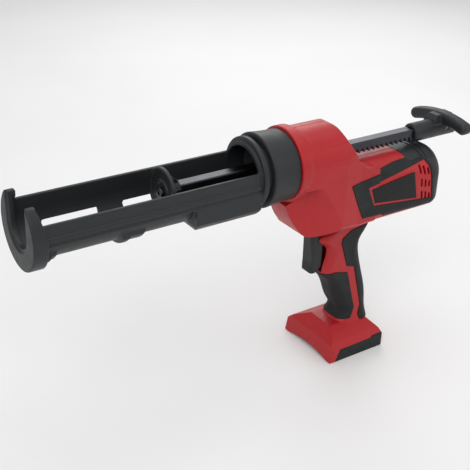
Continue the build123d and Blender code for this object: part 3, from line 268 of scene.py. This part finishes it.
def film(name, color):
    """Smooth label film with a slight sheen, left blank, with faint dust and rub marks."""
    g = Graph(name)
    dust = g.noise(1500, 2.0, 0.7)
    rub = g.noise(220, 4.0, 0.6, g.stretched((0.25, 1, 1)))
    base = g.mix(g.spread(dust, 0.62, 0.74, 0, 0.35), color, scaled(color, 3.0))
    shine = g.spread(rub, 0.35, 0.7, 0.22, 0.40)
    normal = g.bump(g.noise(160, 2.0), 0.2, 0.03 * MM, g.rounded(0.3 * MM))
    return g.finish(base, shine, normal, Coat_Weight=0.06, Coat_Roughness=0.15, Specular_IOR_Level=0.2)


def board(name, color):
    """Circuit board: green mask with traces that show through as slightly raised lines."""
    g = Graph(name)
    grid = g.node("ShaderNodeTexBrick", Vector=g.place, Scale=180)
    tone = g.mix(g.spread(grid.outputs["Fac"], 0, 1, 0, 0.7), color, scaled(color, 1.9))
    normal = g.bump(grid.outputs["Fac"], 0.4, 0.05 * MM, g.rounded(0.2 * MM))
    return g.finish(tone, g.spread(g.noise(300, 2.0), 0.3, 0.7, 0.25, 0.42), normal)


# The finish of each material slot. Grain is a noise scale, grain depths and edge radii are in mm,
# the edge factor is how much brighter the edges are painted, as a painted highlight that also stands for
# wear, and streak scales the noise along each axis.
FINISHES = {
    "red_shell": moulded(
        "red_shell", rgb(0.415, 0.010, 0.014), rough=0.42, grain=2600,
        grain_depth=0.035, round_mm=0.9, edge_highlight_and_wear=1.3, coat=0.08,
    ),
    "charcoal_plastic": moulded(
        "charcoal_plastic", rgb(0.019, 0.021, 0.023), rough=0.46, grain=2100,
        grain_depth=0.05, round_mm=0.7, edge_highlight_and_wear=2.2,
    ),
    "black_plastic": moulded(
        "black_plastic", rgb(0.013, 0.014, 0.015), rough=0.42, grain=2400,
        grain_depth=0.04, round_mm=0.5, edge_highlight_and_wear=2.2,
    ),
    "rubber_overmould": rubber("rubber_overmould", rgb(0.015, 0.018, 0.018), grain=1500),
    "label_film": film("label_film", rgb(0.004, 0.004, 0.005)),
    "rack_steel": metal(
        "rack_steel", rgb(0.070, 0.073, 0.083), rough=0.36, streak=(0.02, 1, 1), dark=0.7, round_mm=0.35
    ),
    "gear_steel": metal("gear_steel", rgb(0.40, 0.40, 0.41), rough=0.32, streak=(1, 0.05, 1)),
    "bright_steel": metal("bright_steel", rgb(0.62, 0.62, 0.63), rough=0.22, streak=(0.05, 1, 1)),
    "screw_steel": metal("screw_steel", rgb(0.10, 0.10, 0.105), rough=0.38, streak=(1, 1, 1)),
    "spring_steel": metal("spring_steel", rgb(0.45, 0.45, 0.47), rough=0.28, streak=(1, 1, 1)),
    "die_cast": cast("die_cast", rgb(0.50, 0.51, 0.52), rough=0.42),
    "bronze": metal("bronze", rgb(0.42, 0.28, 0.12), rough=0.40, streak=(1, 0.2, 1)),
    "copper": metal("copper", rgb(0.55, 0.26, 0.13), rough=0.30, streak=(0.05, 1, 1)),
    "magnet": cast("magnet", rgb(0.10, 0.10, 0.11), rough=0.55),
    "board": board("board", rgb(0.012, 0.085, 0.040)),
    "wire": moulded(
        "wire", rgb(0.30, 0.015, 0.015), rough=0.38, grain=1500,
        grain_depth=0.02, round_mm=0.2, edge_highlight_and_wear=1.2,
    ),
}


def paint_nodes():
    """Every CAD node gets the finish of its material slot."""
    for entry in frame["record"]["subparts"]:
        node = frame["nodes"][entry["node"]]
        node.data.materials.clear()
        node.data.materials.append(FINISHES[entry["material_slot"]])


# ------------------------------------------------------------------ softened mouldings
SMOOTH_FACTOR = 0.5


def body_of(node_name):
    for body, members in frame["record"]["behaviour"]["bodies"].items():
        if node_name in members:
            return body
    raise ValueError(node_name)


def slot_of(node_name):
    for entry in frame["record"]["subparts"]:
        if entry["node"] == node_name:
            return entry["material_slot"]
    raise ValueError(node_name)


def applied(source, name):
    """A new object whose mesh is the source object with its modifiers applied."""
    graph = bpy.context.evaluated_depsgraph_get()
    mesh = bpy.data.meshes.new_from_object(source.evaluated_get(graph))
    mesh.name = name
    made = bpy.data.objects.new(name, mesh)
    bpy.context.collection.objects.link(made)
    return made


def soften(node_name, voxel_mm, rounds):
    """A copy of a CAD moulding with rounded edges and corners, which replaces it."""
    source = frame["nodes"][node_name].copy()
    source.data = source.data.copy()
    source.name = node_name + "_draft"
    bpy.context.collection.objects.link(source)
    remesh = source.modifiers.new("remesh", "REMESH")
    remesh.mode = "VOXEL"
    remesh.voxel_size = voxel_mm * MM
    smooth = source.modifiers.new("smooth", "SMOOTH")
    smooth.factor = SMOOTH_FACTOR
    smooth.iterations = rounds
    piece = applied(source, node_name + "_moulding")
    bpy.data.objects.remove(source)
    piece.data.shade_smooth()
    slot = slot_of(node_name)
    piece.data.materials.clear()
    piece.data.materials.append(FINISHES[slot])
    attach(piece, body_of(node_name))
    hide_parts(node_name)


# Each moulding: size of the remesh's voxels in mm, and rounds of smoothing
MOULDINGS = {
    "left_shell": (0.42, 3),
    "right_shell": (0.42, 3),
    "rear_cap": (0.5, 4),
    "cradle": (0.55, 4),
    "lock_collar": (0.5, 3),
    "pull_handle": (0.45, 4),
    "trigger": (0.4, 5),
    "left_overmould": (0.4, 3),
    "right_overmould": (0.4, 3),
    "grip_backstrap": (0.4, 3),
    "grip_front_panel": (0.4, 3),
    "foot_pads": (0.4, 2),
    "piston_disc": (0.35, 3),
    "piston_hub": (0.35, 2),
}


# ------------------------------------------------------------------ small parts
RIB_COUNT = 8
RIB_HALF = 0.55 * MM
RIB_ROOT_R = 9.3 * MM
RIB_TIP_R = 19.8 * MM
RIB_SINK = 0.3 * MM
RIB_TIP_LEAN = 1.6 * MM
RIB_END_INSET = 1.0 * MM
RIB_END_HEIGHT = 0.8 * MM


def prism(name, profile, half):
    """A flat plate in the XZ plane from a side profile, centred on y = 0."""
    count = len(profile)
    points = [(x, y, z) for y in (-half, half) for x, z in profile]
    faces = [tuple(range(count)), tuple(range(2 * count - 1, count - 1, -1))]
    for k in range(count):
        after = (k + 1) % count
        faces.append((k, k + count, after + count, after))
    mesh = bpy.data.meshes.new(name)
    mesh.from_pydata(points, [], faces)
    made = bpy.data.objects.new(name, mesh)
    bpy.context.collection.objects.link(made)
    return made


def piston_ribs():
    """Gussets between the piston's hub and the back of its disc."""
    hub_low, hub_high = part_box("piston_hub")
    disc_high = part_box("piston_disc")[1]
    axis_height = (hub_low.z + hub_high.z) / 2
    back = disc_high.x - RIB_SINK
    end = hub_high.x - RIB_END_INSET
    profile = [
        (back - RIB_TIP_LEAN, RIB_TIP_R),
        (back, RIB_ROOT_R),
        (end, RIB_ROOT_R),
        (end, RIB_ROOT_R + RIB_END_HEIGHT),
    ]
    for number in range(RIB_COUNT):
        rib = prism(f"piston_rib_{number + 1}", profile, RIB_HALF)
        rib.location.z = axis_height
        rib.rotation_euler.x = 2 * math.pi * (number + 0.5) / RIB_COUNT
        rib.data.materials.append(FINISHES["charcoal_plastic"])
        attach(rib, "rod")


def trigger_spring():
    """The trigger's return spring, copied from its CAD node and fixed to the housing."""
    node = frame["nodes"]["trigger_spring"]
    coil = bpy.data.objects.new("trigger_spring_coil", node.data.copy())
    bpy.context.collection.objects.link(coil)
    coil.matrix_world = node.matrix_world
    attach(coil, "housing")
    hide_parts("trigger_spring")
    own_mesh(coil)


# ------------------------------------------------------------------ light and floor
WORLD_STRENGTH = 0.55
FLOOR_REACH = 6.0
FLOOR_DROP = 0.4 * MM
FLOOR_DARK = rgb(0.83, 0.83, 0.83)
FLOOR_LIGHT = rgb(0.86, 0.86, 0.86)
# Each lamp: place in metres, width and height in metres, power in watts
LAMPS = {
    "key": ((-0.9, -1.1, 1.5), (1.2, 1.2), 13),
    "top": ((0.3, 0.1, 1.7), (1.5, 1.5), 8),
    "rear_rim": ((0.9, 1.2, 1.0), (0.9, 0.9), 6),
    "side_fill": ((1.4, -0.8, 0.7), (1.0, 1.0), 3),
}
LAMP_TARGET = Vector((0, 0, 0.16))


def soft_light(name, place, size, power):
    data = bpy.data.lights.new(name, "AREA")
    data.shape = "RECTANGLE"
    data.size, data.size_y = size
    data.energy = power
    lamp = bpy.data.objects.new(name, data)
    bpy.context.collection.objects.link(lamp)
    lamp.location = place
    lamp.rotation_mode = "QUATERNION"
    lamp.rotation_quaternion = (LAMP_TARGET - Vector(place)).to_track_quat("-Z", "Y")


def make_floor():
    """Pale paper floor just below the foot."""
    mesh = bpy.data.meshes.new("floor")
    corners = [(x * FLOOR_REACH, y * FLOOR_REACH, 0) for x, y in ((-1, -1), (1, -1), (1, 1), (-1, 1))]
    mesh.from_pydata(corners, [], [(0, 1, 2, 3)])
    floor = bpy.data.objects.new("floor", mesh)
    bpy.context.collection.objects.link(floor)
    floor.location.z = -FLOOR_DROP
    g = Graph("floor_paper")
    tone = g.mix(g.spread(g.noise(3, 3.0), 0.3, 0.7, 0, 1), FLOOR_DARK, FLOOR_LIGHT)
    mesh.materials.append(g.finish(tone, 0.7, g.bump(g.noise(400, 3.0), 0.1, 0.1 * MM)))


def make_stage():
    """Pale floor, pale surroundings and large soft lamps."""
    make_floor()
    world = bpy.data.worlds.new("studio")
    bpy.context.scene.world = world
    world.use_nodes = True
    background = world.node_tree.nodes["Background"]
    background.inputs["Color"].default_value = (1, 1, 1, 1)
    background.inputs["Strength"].default_value = WORLD_STRENGTH
    for name, (place, size, power) in LAMPS.items():
        soft_light(name, place, size, power)


make_camera()
make_stage()
paint_nodes()
piston_ribs()
trigger_spring()
for moulding, (voxel, rounds) in MOULDINGS.items():
    soften(moulding, voxel, rounds)

scene = bpy.context.scene
scene.view_settings.view_transform = "Standard"
scene.view_settings.look = "None"
